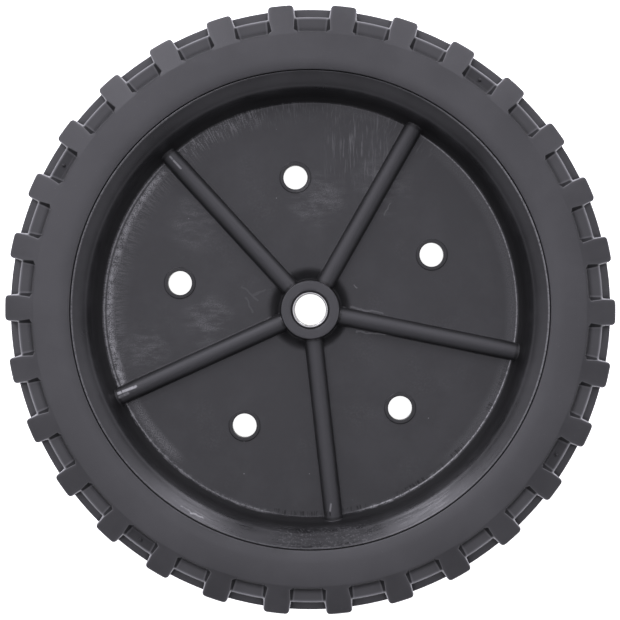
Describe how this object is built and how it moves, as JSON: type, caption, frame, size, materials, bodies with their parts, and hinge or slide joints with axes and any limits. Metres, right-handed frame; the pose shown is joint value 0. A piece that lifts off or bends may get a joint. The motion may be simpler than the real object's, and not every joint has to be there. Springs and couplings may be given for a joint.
{
  "type": "wheel",
  "caption": "Garden machine wheel: lugged rubber tyre on a dished plastic disc with half-round radial ribs, a ring of round holes and a bushed hub for an axle.",
  "frame": {"origin": "centre of the wheel, on the axle line at the middle of the tyre width", "axes": "+Z along the axle line, out of the open side of the hub that the picture shows, so the wheel lies flat on its other sidewall; +X to the right and +Y up in the picture"},
  "size_m": [0.25, 0.25, 0.045],
  "materials": {
    "tyre_rubber": "matte dark grey rubber",
    "disc_plastic": "satin black moulded plastic with scuffs",
    "bush_steel": "bright drawn steel"
  },
  "bodies": {
    "root": {"tyre": "tyre_rubber", "wheel_disc": "disc_plastic", "hub_bush": "bush_steel"}
  },
  "joints": []
}
